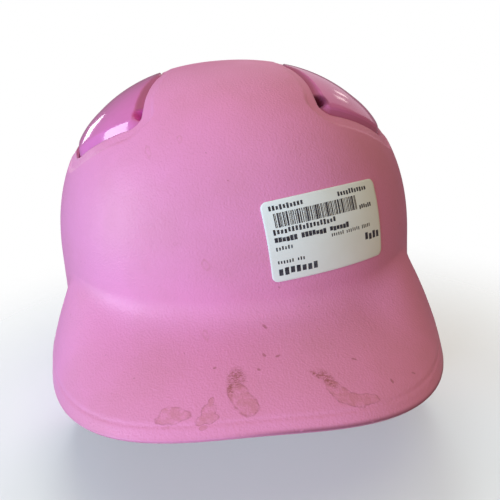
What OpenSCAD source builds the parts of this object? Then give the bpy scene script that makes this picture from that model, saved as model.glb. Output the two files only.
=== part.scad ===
// Youth batting helmet: moulded shell with a bill and two ear flaps, a pair of glossy vent panels,
// foam pads inside, chin strap studs, face guard nuts and a stuck-on price label.
// The front faces -Y, the wearer's left is +X, and the rims of the flaps and nape stand on Z = 0.

/* [Shell] */
// Half width of the dome at its widest
dome_half_w = 100; // [94:0.5:106]
// Dome centre to the forehead
dome_front = 101; // [95:0.5:108]
// Dome centre to the back of the head
dome_rear = 112; // [104:0.5:120]
// Widest level up to the crown
dome_h = 98; // [92:0.5:104]
// Widest level above the ground
belt_z = 98; // [92:0.5:104]
// Wall thickness of the shell
wall = 3; // [2.6:0.1:3.4]

/* [Bill] */
// Half width of the bill
bill_half_w = 107; // [103:0.5:112]
// Dome centre to the tip of the bill
bill_reach = 163; // [150:1:170]
// Widest level down to the bill's edge at its middle
bill_drop = 32.5; // [28:0.5:36]
// How much lower the bill's corners are than its middle
bill_arch = 12.5; // [8:0.5:16]

/* [Flaps] */
// Height of the arch between each ear flap and the nape
arch_lift = 14; // [8:1:20]
// Radius of the ear hole in each flap
ear_hole_r = 15; // [12:0.5:17]
// Height of the ear hole's centre
ear_hole_z = 46; // [42:1:52]

/* [Padding] */
// Thickness of the ring pads round the head
ring_pad_t = 12; // [9:0.5:14]
// Thickness of the pads in the crown
crown_pad_t = 10; // [8:0.5:12]
// Thickness of each ear pad
ear_pad_t = 12; // [9:0.5:13]

/* [Hardware] */
// Radius of the snap stud's head
stud_head_r = 3.1; // [2.9:0.1:3.3]
// Radius of the thread in each face guard nut
guard_thread_r = 2.1; // [1.8:0.1:2.4]

/* [Label] */
// Width of the price label
label_w = 63.5; // [50:0.5:70]
// Height of the price label
label_h = 38; // [30:0.5:42]

/* [Hidden] */

// Shape exponents: 2 is an ellipse, and more is squarer
dome_plan_n = 2.1;
dome_side_n = 2.3;
bill_plan_n = 2.85;
// Azimuths from the front over which the bill fades into the side of the dome
bill_fade = [65, 78];
// Azimuths over which the rim drops from the bill to the bottom of the ear flap
flap_start = [60, 74];
// Azimuths over which the rim rises behind the flap, and falls again to the nape
arch_rise = [102, 128];
arch_fall = [138, 168];
// Inward lean of the flaps and, on top of it, of the nape
flap_lean = 6;
nape_lean = 4;
// Middle of the bounding box is Y = 0
centre = [0, (bill_reach - dome_rear) / 2, belt_z];
clear = 0.3;
// Gap between the shell's inner face and whatever is fixed to it
seat_gap = 0.7;
eps = 0.01;

// Vent opening: circles whose hull is its outline on the plane 100 mm from the dome centre,
// as [rearwards, towards the crown, radius]
vent_axis = [90, 52];
vent_circles = [[-49, 9, 7], [-21, -21, 12], [45, -2, 30], [4, 14, 18.5]];
flange_w = 6;
panel_t = 2;

pink = "#d787bd";
foam = "#3b3b40";

// ---- surface formulas ----

// Smooth step from 0 at lo to 1 at hi
function ease(x, lo, hi) = let(t = min(max((x - lo) / (hi - lo), 0), 1)) t * t * (3 - 2 * t);

// Azimuth folded to 0 at the front and 180 at the back
function side_of(a) = abs(a > 180 ? a - 360 : a);

function dome_r(a) = let(back = cos(a) > 0 ? dome_front : dome_rear)
    pow(pow(abs(sin(a)) / dome_half_w, dome_plan_n) + pow(abs(cos(a)) / back, dome_plan_n),
        -1 / dome_plan_n);

function bill_r(a) = let(c = max(cos(a), eps))
    pow(pow(abs(sin(a)) / bill_half_w, bill_plan_n) + pow(c / bill_reach, bill_plan_n),
        -1 / bill_plan_n);

// How far the bill stands out of the dome at azimuth a
function flare(a) = max(bill_r(a) - dome_r(a), 0) * (1 - ease(side_of(a), bill_fade[0], bill_fade[1]));

// Drop from the widest level to the rim
function rim_drop(a) = let(s = side_of(a), x = min(bill_r(min(s, 80)) * sin(s) / bill_half_w, 1),
        behind = ease(s, flap_start[0], flap_start[1]),
        lift = arch_lift * ease(s, arch_rise[0], arch_rise[1]) * (1 - ease(s, arch_fall[0], arch_fall[1])))
    (bill_drop + bill_arch * x * x) * (1 - behind) + (belt_z - lift) * behind;

// Outer surface: a is the azimuth, u runs from 0 at the crown, by 1 at the widest level, to 2 at the rim
function outer(a, u) = u <= 1
    ? let(r = dome_r(a) * pow(sin(90 * u), 2 / dome_side_n))
        centre + [r * sin(a), -r * cos(a), dome_h * pow(cos(90 * u), 2 / dome_side_n)]
    : let(w = u - 1, s = side_of(a), drop = rim_drop(a), out = flare(a),
        behind = ease(s, flap_start[0], flap_start[1]),
        b1 = 3 * w * pow(1 - w, 2), b2 = 3 * w * w * (1 - w), b3 = w * w * w,
        ahead = 1 - ease(s, 30, 58),
        first = (4 + 13 * ahead) * (1 - behind) + drop / 3 * behind,
        second = drop * ((0.24 + 0.22 * ahead) * (1 - behind) + 2 / 3 * behind),
        lean = (flap_lean * ease(s, 72, 95) + nape_lean * ease(s, 120, 170)) * w * w,
        r = dome_r(a) + 0.46 * b2 * out + b3 * out - lean)
        centre + [r * sin(a), -r * cos(a), -(b1 * first + b2 * second + b3 * drop)];

// Outward unit normal by central differences
function normal(a, u) = let(du = 0.004,
        n = cross(outer(a + 0.4, u) - outer(a - 0.4, u), outer(a, min(u + du, 2)) - outer(a, u - du)))
    n / -norm(n);

// Point at a depth below the outer surface
function skin(a, u, depth) = outer(a, u) - depth * normal(a, u);

// Dome point straight out from the centre in direction d, moved in by a depth
function dome_at(d, depth) =
    let(back = d.y < 0 ? dome_front : dome_rear,
        plan = pow(abs(d.x) / dome_half_w, dome_plan_n) + pow(abs(d.y) / back, dome_plan_n),
        f = pow(plan, dome_side_n / dome_plan_n) + pow(max(d.z, 0) / dome_h, dome_side_n))
    centre + d * (pow(f, -1 / dome_side_n) - depth / norm(d));

// Direction at [x, y] on the plane 100 mm out along azimuth a and elevation e
function aim(view, p) = let(a = view[0], e = view[1])
    100 * [cos(e) * sin(a), -cos(e) * cos(a), sin(e)]
    + p.x * [cos(a), sin(a), 0]
    + p.y * [-sin(e) * sin(a), sin(e) * cos(a), cos(e)];

// ---- closed patches: an outer sheet and an inner sheet of rings, sewn round their edges ----

// Faces between two rings of n points that start at i and j
function band(i, j, n) = [for (k = [0:n - 1]) let(m = (k + 1) % n)
    each [[i + k, j + k, j + m], [i + k, j + m, i + m]]];

function flipped(faces) = [for (f = faces) [f[0], f[2], f[1]]];

// rings and backs are lists of equal rings, innermost first, that run anticlockwise seen from
// outside the helmet. An open patch keeps a hole inside its first ring.
module patch(rings, backs, open = false) {
    n = len(rings[0]);
    last = (len(rings) - 1) * n;
    half = last + n;
    lift = [half, half, half];
    sheet = [for (i = [0:n:last - n]) each band(i, i + n, n)];
    cap = open ? [] : [for (k = [1:n - 2]) [0, k, k + 1]];
    face = concat(cap, sheet);
    polyhedron(points = [for (r = concat(rings, backs)) each r],
        faces = concat(flipped(face), [for (f = face) f + lift], flipped(band(last, last + half, n)),
            open ? band(0, half, n) : []));
}

// Rounded rectangle of half sizes h, traced as t goes from 0 to 360
function round_box(h, t) =
    [h.x * sign(cos(t)) * sqrt(abs(cos(t))), h.y * sign(sin(t)) * sqrt(abs(sin(t)))];

// Radius at angle t of the vent outline grown by g, from the tangent lines round its circles
function vent_edge(t, g) = min([for (k = [-85:5:85]) let(n = [cos(t + k), sin(t + k)])
        (max([for (c = vent_circles) c.x * n.x + c.y * n.y + c.z]) + g) / cos(k)])
    * [cos(t), sin(t)];

pad_rings = [[0.35, 1], [0.75, 0.97], [0.93, 0.8], [1, 0.4]];
pad_sides = 28;

// Foam pad under the dome: view is where it lies, h its half sizes, t its thickness
module dome_pad(view, h, t, depth = wall + seat_gap) {
    steps = [for (k = [0:pad_sides - 1]) 360 * k / pad_sides];
    patch([for (r = pad_rings) [for (k = steps) dome_at(aim(view, r[0] * round_box(h, k)), depth)]],
        [for (r = pad_rings) [for (k = steps) dome_at(aim(view, r[0] * round_box(h, k)), depth + t * r[1])]]);
}

// Foam pad against the skirt: mid and h are in azimuth and u
module skirt_pad(mid, h, t, depth = wall + seat_gap) {
    steps = [for (k = [0:pad_sides - 1]) 360 * k / pad_sides];
    at = [for (r = pad_rings) [for (k = steps) mid + r[0] * round_box(h, -k)]];
    patch([for (ring = at) [for (p = ring) skin(p.x, p.y, depth)]],
        [for (i = [0:len(at) - 1]) [for (p = at[i]) skin(p.x, p.y, depth + t * pad_rings[i][1])]]);
}

module at_skin(a, u) {
    n = normal(a, u);
    translate(outer(a, u)) rotate([0, acos(n.z), atan2(n.y, n.x)]) children();
}

// ---- shell ----

// More columns at the front, where the bill turns its corners
function columns() = concat([for (a = [-88:4:88]) a], [for (a = [95:7.5:265]) a]);
function rows() = concat([0.03], [for (k = [1:11]) k / 11], [for (k = [1:10]) 1 + k / 10]);

module blank_shell() {
    cols = columns();
    rings = [for (u = rows()) [for (a = cols) outer(a, u)]];
    backs = [for (u = rows()) [for (a = cols) skin(a, u, wall)]];
    patch(rings, backs);
}

// Cone from the dome centre through the vent outline grown by g
module vent_cone(g = 0) {
    translate(centre) rotate([0, 0, vent_axis[0]]) rotate([90 - vent_axis[1], 0, 0]) hull() {
        translate([0, 0, 10]) cube(eps);
        for (c = vent_circles)
            translate([1.3 * c.x, 1.3 * c.y, 130]) cylinder(r = 1.3 * (c.z + g), h = 1, $fn = 40);
    }
}

ear_u = 1 + (belt_z - ear_hole_z) / belt_z;
ear_a = 95;
stud_at = [84, 1.82];
nut_at = [81, 1.42];
stud_hole_r = 2;
nut_barrel_r = 3;
rear_slot_z = belt_z + 44;

module shell_holes() {
    vent_cone();
    at_skin(ear_a, ear_u) translate([0, 0, -20]) cylinder(r = ear_hole_r, h = 30, $fn = 40);
    at_skin(stud_at.x, stud_at.y) translate([0, 0, -8]) cylinder(r = stud_hole_r, h = 16, $fn = 24);
    at_skin(nut_at.x, nut_at.y) translate([0, 0, -8]) cylinder(r = nut_barrel_r + 0.1, h = 16, $fn = 24);
    rear_slot();
}

module rear_slot() {
    hull() for (a = [150, 166])
        translate(dome_at(aim([a, 24], [0, 0]), 0)) rotate([0, 90, a - 90])
            cylinder(r = 4.5, h = 40, center = true, $fn = 24);
}

module outer_shell() {
    // The zero resize keeps the size: it has the whole cut shell meshed in one step
    color(pink) resize([0, 0, 0]) difference() {
        blank_shell();
        shell_holes();
        mirror([1, 0, 0]) shell_holes();
    }
}

// ---- vent panels ----

// Height of the panel's face over the dome surface at fraction f of the way to its edge
function panel_rise(f) = -(wall + seat_gap) + (wall + 0.3) * (1 - ease(f, 0.76, 0.96));
// Extra depth round the front vent hole
vent_hole_at = [-47, 12];
vent_hole_r = 3;
function scoop(p) = 4 * exp(-pow(norm(p - vent_hole_at) / 9, 2));

panel_rings = [0.08, 0.4, 0.72, 0.8, 0.86, 0.91, 0.97];

module panel_blank() {
    steps = [for (k = [0:6:354]) k];
    face = concat([for (f = panel_rings) [for (k = steps) f * vent_edge(k, 0)]],
        [[for (k = steps) vent_edge(k, flange_w)]]);
    rise = concat([for (f = panel_rings) panel_rise(f)], [-(wall + seat_gap)]);
    patch([for (i = [0:len(face) - 1]) [for (p = face[i]) dome_at(aim(vent_axis, p), -rise[i] + scoop(p))]],
        [for (i = [0:len(face) - 1])
            [for (p = face[i]) dome_at(aim(vent_axis, p), -rise[i] + scoop(p) + panel_t)]]);
}

module panel_hole(p, r) {
    translate(centre) rotate([0, 0, vent_axis[0]]) rotate([90 - vent_axis[1], 0, 0])
        rotate([-atan(p.y / 100), atan(p.x / norm([100, p.y])), 0])
            translate([0, 0, 70]) cylinder(r = r, h = 50, $fn = 24);
}

module left_vent_panel() {
    color("#dd86c4") resize([0, 0, 0]) difference() {
        panel_blank();
        panel_hole(vent_hole_at, vent_hole_r);
    }
}

module right_vent_panel() {
    mirror([1, 0, 0]) left_vent_panel();
}

// Angles round the vent outline at which its flange is screwed up into the shell
screw_angles = [20, 80, 128, 205, 292];

module panel_screws() {
    for (t = screw_angles) {
        p = vent_edge(t, flange_w / 2 + 0.5);
        d = aim(vent_axis, p);
        tip = dome_at(d, 1.9);
        color("silver") translate(tip) rotate([0, 180 - acos(-d.z / norm(d)), atan2(d.y, d.x)]) {
            translate([0, 0, -4.2]) cylinder(r = 1.3, h = 4.2, $fn = 24);
            difference() {
                translate([0, 0, -5.7]) cylinder(r = 2.8, h = 1.8, $fn = 24);
                for (k = [0, 90])
                    rotate(k) translate([-1.6, -0.35, -5.8]) cube([3.2, 0.7, 0.9]);
            }
        }
    }
}

module left_panel_screws() { panel_screws(); }
module right_panel_screws() { mirror([1, 0, 0]) panel_screws(); }

// ---- pads ----

module brow_pad() { color(foam) dome_pad([0, 14], [48, 23], ring_pad_t); }

module brow_sweatband() {
    color("#55555c") dome_pad([0, 9], [42, 12], 3.5, wall + 2.6 * seat_gap + ring_pad_t);
}

module crown_front_pad() { color(foam) dome_pad([0, 57], [25, 16], crown_pad_t); }
module crown_top_pad() { color(foam) dome_pad([0, 90], [25, 18], crown_pad_t); }
module crown_rear_pad() { color(foam) dome_pad([180, 57], [25, 16], crown_pad_t); }

// These lie under the vent panels
module left_crown_pad() {
    color(foam) dome_pad([94, 54], [32, 20], crown_pad_t, wall + panel_t + 3);
}
module right_crown_pad() { mirror([1, 0, 0]) left_crown_pad(); }

module left_temple_pad() { color(foam) dome_pad([56, 9], [35, 21], ring_pad_t); }
module right_temple_pad() { mirror([1, 0, 0]) left_temple_pad(); }
module left_side_pad() { color(foam) dome_pad([97, 9], [28, 21], ring_pad_t); }
module right_side_pad() { mirror([1, 0, 0]) left_side_pad(); }
module left_rear_pad() { color(foam) dome_pad([136, 9], [32, 21], ring_pad_t); }
module right_rear_pad() { mirror([1, 0, 0]) left_rear_pad(); }
module rear_centre_pad() { color(foam) dome_pad([180, 9], [36, 21], ring_pad_t); }
module nape_pad() { color(foam) skirt_pad([180, 1.48], [34, 0.3], ring_pad_t); }

// Thickness of the loop patches between each ear pad and its flap
patch_t = 1.2;
ear_pad_depth = wall + seat_gap + patch_t + clear;
ear_pad_mid = [ear_a + 1, ear_u + 0.02];
ear_pad_half = [20, 0.38];

// Ring with a round hole in line with the ear hole
module left_ear_pad() {
    steps = [for (k = [0:9:351]) k];
    spread = [[0, 0.6], [0.12, 0.95], [0.6, 1], [0.9, 0.85], [1, 0.4]];
    hole = [(ear_hole_r + 4) / dome_half_w * 57.3, (ear_hole_r + 4) / belt_z];
    at = [for (s = spread) [for (k = steps)
        let(in = [ear_a, ear_u] + [hole.x * cos(k), -hole.y * sin(k)],
            out = ear_pad_mid + round_box(ear_pad_half, -k))
        in + s[0] * (out - in)]];
    color("#2f2f33") patch([for (ring = at) [for (p = ring) skin(p.x, p.y, ear_pad_depth)]],
        [for (i = [0:len(at) - 1]) [for (p = at[i]) skin(p.x, p.y, ear_pad_depth + ear_pad_t * spread[i][1])]],
        open = true);
}
module right_ear_pad() { mirror([1, 0, 0]) left_ear_pad(); }

// Loop patches stuck on the flap round the ear hole
module hook_patches() {
    for (q = [[-2, -0.27], [16, -0.17], [16, 0.17], [3, 0.31]])
        color("#1f1f22") at_skin(ear_a + q.x, ear_u + q.y)
            translate([0, 0, -wall - seat_gap - patch_t]) cylinder(r = 6.5, h = patch_t, $fn = 32);
}
module left_hook_patches() { hook_patches(); }
module right_hook_patches() { mirror([1, 0, 0]) hook_patches(); }

// ---- hardware ----

module left_snap_stud() {
    color("silver") at_skin(stud_at.x, stud_at.y) {
        translate([0, 0, -wall - 1.6]) cylinder(r = stud_hole_r - 0.1, h = wall + 1.7, $fn = 32);
        translate([0, 0, 0.1]) cylinder(r = 6.2, h = 0.8, $fn = 48);
        translate([0, 0, 0.9]) cylinder(r = stud_head_r - 0.4, h = 0.8, $fn = 48);
        translate([0, 0, 1.7]) cylinder(r = stud_head_r, h = 2, $fn = 48);
        translate([0, 0, 3.7]) cylinder(r1 = stud_head_r, r2 = stud_head_r - 0.9, h = 0.8, $fn = 48);
    }
}
module right_snap_stud() { mirror([1, 0, 0]) left_snap_stud(); }

module left_snap_washer() {
    color("silver") at_skin(stud_at.x, stud_at.y) translate([0, 0, -wall - 1.3]) difference() {
        cylinder(r = 6, h = 1, $fn = 48);
        translate([0, 0, -1]) cylinder(r = stud_hole_r, h = 3, $fn = 32);
    }
}
module right_snap_washer() { mirror([1, 0, 0]) left_snap_washer(); }

module left_guard_nut() {
    color("silver") at_skin(nut_at.x, nut_at.y) difference() {
        union() {
            translate([0, 0, -wall - 1.4]) cylinder(r = 6.5, h = 1.1, $fn = 48);
            translate([0, 0, -wall - 1.4]) cylinder(r = nut_barrel_r, h = wall + 1.2, $fn = 48);
        }
        translate([0, 0, -wall - 3]) cylinder(r = guard_thread_r, h = wall + 6, $fn = 48);
    }
}
module right_guard_nut() { mirror([1, 0, 0]) left_guard_nut(); }

// ---- price label, on the forehead over the wearer's left eye ----

label_view = [25.3, 15.2];
label_t = 0.3;
label_corner = 3;

// Outline point at angle t and fraction f, in label millimetres
function label_point(t, f) = let(h = [label_w, label_h] / 2,
        c = [cos(t), sin(t)], k = min(h.x / max(abs(c.x), eps), h.y / max(abs(c.y), eps)),
        q = k * c, in = [max(abs(q.x) - h.x + label_corner, 0), max(abs(q.y) - h.y + label_corner, 0)],
        cut = max(norm(in) - label_corner, 0))
    f * (q - (norm(in) > 0 ? cut * [sign(q.x) * in.x, sign(q.y) * in.y] / norm(in) : [0, 0]));

// A point of the label keeps its distance from the label's middle
function label_skin(p, depth) = let(turn = norm(p) / 100, grow = turn > 0 ? tan(turn * 180 / PI) / turn : 1)
    dome_at(aim(label_view, p * grow), depth);

module price_label() {
    steps = [for (k = [0:7.5:352.5]) k];
    rings = [0.08, 0.4, 0.75, 1];
    color("ivory") patch(
        [for (f = rings) [for (t = steps) label_skin(label_point(t, f), -0.25 - label_t)]],
        [for (f = rings) [for (t = steps) label_skin(label_point(t, f), -0.25)]]);
}

outer_shell();
left_vent_panel();
right_vent_panel();
left_panel_screws();
right_panel_screws();
brow_pad();
brow_sweatband();
crown_front_pad();
crown_top_pad();
crown_rear_pad();
left_crown_pad();
right_crown_pad();
left_temple_pad();
right_temple_pad();
left_side_pad();
right_side_pad();
left_rear_pad();
right_rear_pad();
rear_centre_pad();
nape_pad();
left_ear_pad();
right_ear_pad();
left_hook_patches();
right_hook_patches();
left_snap_stud();
right_snap_stud();
left_snap_washer();
right_snap_washer();
left_guard_nut();
right_guard_nut();
price_label();
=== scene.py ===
import math

import bmesh
import bpy
import numpy as np
from mathutils import Matrix, Vector
from mathutils.bvhtree import BVHTree
from mathutils.kdtree import KDTree


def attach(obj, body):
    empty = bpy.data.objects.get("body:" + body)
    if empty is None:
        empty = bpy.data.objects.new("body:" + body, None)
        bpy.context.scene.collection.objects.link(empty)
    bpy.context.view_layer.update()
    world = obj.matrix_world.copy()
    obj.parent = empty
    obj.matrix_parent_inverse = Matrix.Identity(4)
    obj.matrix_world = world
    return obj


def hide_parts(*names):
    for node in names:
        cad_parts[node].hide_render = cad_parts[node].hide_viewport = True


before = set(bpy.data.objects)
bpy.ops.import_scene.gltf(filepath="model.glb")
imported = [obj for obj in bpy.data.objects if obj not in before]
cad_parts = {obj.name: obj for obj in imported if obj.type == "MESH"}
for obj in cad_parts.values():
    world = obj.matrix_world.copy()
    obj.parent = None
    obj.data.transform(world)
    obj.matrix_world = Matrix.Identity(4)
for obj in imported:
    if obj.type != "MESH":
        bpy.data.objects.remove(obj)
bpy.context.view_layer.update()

# A youth batting helmet: grained matte shell, two glossy vent panels, a price label, foam pads,
# wrapped ear pads and plated hardware. Lengths are in millimetres until a mesh is made.

scene = bpy.context.scene
MM = 0.001
IMAGE_PX = 500
SIDES = ("left", "right")

# ---- driving sizes, as in the CAD model ----
DOME_HALF_W, DOME_FRONT, DOME_REAR, DOME_H = 100.0, 101.0, 112.0, 98.0
DOME_PLAN_N, DOME_SIDE_N, BILL_PLAN_N = 2.1, 2.3, 2.85
BILL_HALF_W, BILL_REACH, BILL_DROP, BILL_ARCH = 107.0, 163.0, 32.5, 12.5
BELT_Z, ARCH_LIFT = 98.0, 14.0
WALL, PANEL_T = 3.0, 2.0
CENTRE = np.array([0.0, (BILL_REACH - DOME_REAR) / 2, BELT_Z])
EAR_A, EAR_Z, EAR_R = 95.0, 46.0, 15.0
EAR_U = 1 + (BELT_Z - EAR_Z) / BELT_Z
STUD_AT, NUT_AT, NUT_HOLE_R = (84, 1.82), (81, 1.42), 3.1
VENT_AXIS = (90.0, 52.0)
VENT_CIRCLES = np.array([[-49, 9, 7], [-21, -21, 12], [45, -2, 30], [4, 14, 18.5]], float)
LABEL_VIEW, LABEL_W, LABEL_H = (25.3, 15.2), 63.5, 38.0
SEAT_GAP = 0.7
RING_T, CROWN_T, EAR_PAD_T = 12.0, 10.0, 12.0


# ---- surface formulas, azimuths in degrees from the front ----

def ease(x, lo, hi):
    t = np.clip((x - lo) / (hi - lo), 0, 1)
    return t * t * (3 - 2 * t)


def sin_cos(a):
    return np.sin(np.radians(a)), np.cos(np.radians(a))


def norm(v):
    return np.linalg.norm(v, axis=-1)


def side_of(a):
    return np.abs((a + 180) % 360 - 180)


def dome_r(a):
    s, c = sin_cos(a)
    back = np.where(c > 0, DOME_FRONT, DOME_REAR)
    total = (np.abs(s) / DOME_HALF_W) ** DOME_PLAN_N + (np.abs(c) / back) ** DOME_PLAN_N
    return total ** (-1 / DOME_PLAN_N)


def bill_r(a):
    s, c = sin_cos(a)
    total = (np.abs(s) / BILL_HALF_W) ** BILL_PLAN_N + (np.maximum(c, 0.01) / BILL_REACH) ** BILL_PLAN_N
    return total ** (-1 / BILL_PLAN_N)


def flare(a):
    return np.maximum(bill_r(a) - dome_r(a), 0) * (1 - ease(side_of(a), 65, 78))


def rim_drop(a):
    s = side_of(a)
    x = np.minimum(bill_r(np.minimum(s, 80)) * sin_cos(s)[0] / BILL_HALF_W, 1)
    behind = ease(s, 60, 74)
    lift = ARCH_LIFT * ease(s, 102, 128) * (1 - ease(s, 138, 168))
    return (BILL_DROP + BILL_ARCH * x * x) * (1 - behind) + (BELT_Z - lift) * behind


def outer(a, u):
    """Outer surface: u is 0 at the crown, 1 at the widest level and 2 at the rim."""
    a, u = np.broadcast_arrays(np.asarray(a, float), np.asarray(u, float))
    s, c = sin_cos(a)
    top = np.clip(u, 0, 1) * np.pi / 2
    w = np.clip(u - 1, 0, 1)
    side, drop, out = side_of(a), rim_drop(a), flare(a)
    behind = ease(side, 60, 74)
    b1, b2, b3 = 3 * w * (1 - w) ** 2, 3 * w * w * (1 - w), w ** 3
    ahead = 1 - ease(side, 30, 58)
    first = (4 + 13 * ahead) * (1 - behind) + drop / 3 * behind
    second = drop * ((0.24 + 0.22 * ahead) * (1 - behind) + 2 / 3 * behind)
    lean = (6 * ease(side, 72, 95) + 4 * ease(side, 120, 170)) * w * w
    r = dome_r(a) * np.sin(top) ** (2 / DOME_SIDE_N) + 0.46 * b2 * out + b3 * out - lean
    z = DOME_H * np.clip(np.cos(top), 0, 1) ** (2 / DOME_SIDE_N) - (b1 * first + b2 * second + b3 * drop)
    return CENTRE + np.stack([r * s, -r * c, z], -1)


def normal(a, u):
    du = 0.004
    along = outer(a + 0.4, u) - outer(a - 0.4, u)
    down = outer(a, np.minimum(u + du, 2)) - outer(a, u - du)
    n = -np.cross(along, down)
    return n / np.linalg.norm(n, axis=-1, keepdims=True)


def dome_at(d, depth):
    """Dome point out from the centre in direction d, moved in by a depth."""
    back = np.where(d[..., 1] < 0, DOME_FRONT, DOME_REAR)
    plan = (np.abs(d[..., 0]) / DOME_HALF_W) ** DOME_PLAN_N + (np.abs(d[..., 1]) / back) ** DOME_PLAN_N
    f = plan ** (DOME_SIDE_N / DOME_PLAN_N) + (np.maximum(d[..., 2], 0) / DOME_H) ** DOME_SIDE_N
    scale = f ** (-1 / DOME_SIDE_N) - depth / norm(d)
    return CENTRE + d * scale[..., None]


def skin(a, u, depth):
    return outer(a, u) - depth * normal(a, u)


def view_axes(view):
    """Back, right and up for a view of azimuth and elevation."""
    (sa, ca), (se, ce) = (sin_cos(angle) for angle in view)
    return np.array([[ce * sa, -ce * ca, se], [ca, sa, 0], [-se * sa, se * ca, ce]])


def aim(view, p):
    """Direction at p on the plane 100 mm out along a view of azimuth and elevation."""
    axes = view_axes(view)
    return 100 * axes[0] + p[..., :1] * axes[1] + p[..., 1:] * axes[2]


def to_left(points):
    """Points mirrored to the wearer's left."""
    return np.stack([np.abs(points[..., 0]), points[..., 1], points[..., 2]], -1)


def on_plane(view, points):
    """Where points, mirrored to the wearer's left, fall on the plane 100 mm out along a view."""
    axes = view_axes(view)
    q = to_left(points - CENTRE)
    ahead = q @ axes[0]
    flat = np.stack([q @ axes[1], q @ axes[2]], -1) * 100 / np.maximum(ahead, 1)[..., None]
    return np.where(ahead[..., None] > 1, flat, 1000.0)


# ---- signed distances of the holes, negative inside ----

HULL_ANGLES = np.radians(np.arange(0, 360, 2.5))
HULL_DIRS = np.stack([np.cos(HULL_ANGLES), np.sin(HULL_ANGLES)], -1)
HULL_REACH = (VENT_CIRCLES[:, :2] @ HULL_DIRS.T + VENT_CIRCLES[:, 2:]).max(0)


def outside_hull(p):
    """From the vent outline, which is the hull of its circles, on the vent plane."""
    return (p @ HULL_DIRS.T - HULL_REACH).max(-1)


def vent_distance(points):
    return outside_hull(on_plane(VENT_AXIS, points))


def vent_edge(t):
    """Radius of the vent outline at angle t in degrees."""
    across = np.cos(np.radians(t)[:, None] - HULL_ANGLES[None])
    return np.where(across > 0.05, HULL_REACH / np.maximum(across, 0.05), 1e9).min(-1)


def round_hole(a, u, radius):
    middle, n = outer(a, u), normal(a, u)

    def distance(points):
        q = to_left(points) - middle
        along = q @ n
        return np.where(along > -30, norm(q - along[..., None] * n), 100) - radius
    return distance


def rear_slot(points):
    q = points - CENTRE
    a = np.degrees(np.arctan2(np.abs(q[..., 0]), -q[..., 1]))
    across = np.maximum(np.abs(a - 158) - 8, 0) * np.radians(1) * norm(q[..., :2])
    return np.hypot(across, q[..., 2] - 44) - 4.5


# ---- mesh helpers ----

def add_object(name, data):
    thing = bpy.data.objects.new(name, data)
    scene.collection.objects.link(thing)
    return thing


def mesh_piece(name, points, faces, material, body="helmet", smooth=True):
    """A mesh object in metres that rides on a body."""
    mesh = bpy.data.meshes.new(name)
    mesh.from_pydata((np.asarray(points) * MM).tolist(), [], faces)
    mesh.validate()
    if smooth:
        mesh.shade_smooth()
    piece = add_object(name, mesh)
    mesh.materials.append(material)
    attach(piece, body)
    return piece


def grid_faces(rows, cols, closed):
    """Quads of a grid of rows and columns."""
    i, j = np.meshgrid(np.arange(rows - 1), np.arange(cols if closed else cols - 1), indexing="ij")
    k = (j + 1) % cols
    quads = np.stack([i * cols + j, (i + 1) * cols + j, (i + 1) * cols + k, i * cols + k], -1)
    return quads.reshape(-1, 4).tolist()


def mesh_points(rows, cols):
    """Every pair of a column value and a row value, row by row."""
    return np.stack(np.meshgrid(cols, rows), -1).reshape(-1, 2)


def fan(middle, cols):
    """Triangles from a middle point to a closed first row."""
    return [[middle, k, (k + 1) % cols] for k in range(cols)]


def cut_grid(params, place, distance, quads):
    """Moves the grid points nearest a hole's edge onto it, and drops the faces inside.
    params is n by 2, place turns it into points and distance is negative in the hole."""
    step = np.ptp(params, axis=0) * 1e-5
    quads = np.array(quads)
    d = distance(place(params))
    edges = np.concatenate([quads[:, [k, (k + 1) % 4]] for k in range(4)])
    crossing = edges[np.sign(d[edges[:, 0]]) != np.sign(d[edges[:, 1]])]
    first, second = crossing.T
    near = np.unique(np.where(np.abs(d[first]) < np.abs(d[second]), first, second))
    for _ in range(4):
        p = params[near]
        here = place(p)
        tangents = [(place(p + step * axis) - here) / step[k] for k, axis in enumerate(np.eye(2))]
        gone = distance(here)
        slopes = [(distance(here + t * step[k]) - gone) / step[k] for k, t in enumerate(tangents)]
        weights = [(t ** 2).sum(-1) + 1e-12 for t in tangents]
        steep = slopes[0] ** 2 / weights[0] + slopes[1] ** 2 / weights[1] + 1e-12
        moved = np.stack([slopes[k] / weights[k] for k in range(2)], -1) * (-gone / steep)[:, None]
        params[near] = p + moved
    d = distance(place(params))
    d[near] = 0
    low, high = d[quads].min(1), d[quads].max(1)
    keep = quads[low >= 0]
    split = []
    for q in quads[(low < 0) & (high > 0)]:
        for first in (0, 1):
            pair = [q[[first, first + 1, first + 2]], q[[first + 2, (first + 3) % 4, first]]]
            if all(d[t].min() >= 0 or d[t].max() <= 0 for t in pair):
                split += [t for t in pair if d[t].max() > 0]
                break
    return params, [*keep, *split]


def drop_loose(points, faces):
    """Keeps only the points that a face uses, and says which they are."""
    used = np.unique(np.concatenate([np.asarray(f) for f in faces]))
    new = np.full(len(points), -1)
    new[used] = np.arange(len(used))
    return points[used], [new[np.asarray(f)].tolist() for f in faces], used


def joined(parts):
    """One list of points and one of faces from several."""
    points, faces = [], []
    start = 0
    for q, f in parts:
        points.append(q)
        faces += [[k + start for k in face] for face in f]
        start += len(q)
    return np.concatenate(points), faces


def add_point_value(piece, name, values):
    layer = piece.data.attributes.new(name, "FLOAT", "POINT")
    layer.data.foreach_set("value", np.asarray(values, np.float32))


def apply_modifiers(piece):
    graph = bpy.context.evaluated_depsgraph_get()
    mesh = bpy.data.meshes.new_from_object(piece.evaluated_get(graph))
    old = piece.data
    piece.modifiers.clear()
    piece.data = mesh
    bpy.data.meshes.remove(old)


def modify(piece, kind, **settings):
    """Adds one modifier and applies it."""
    modifier = piece.modifiers.new("change", kind)
    for key, value in settings.items():
        setattr(modifier, key, value)
    apply_modifiers(piece)


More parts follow.
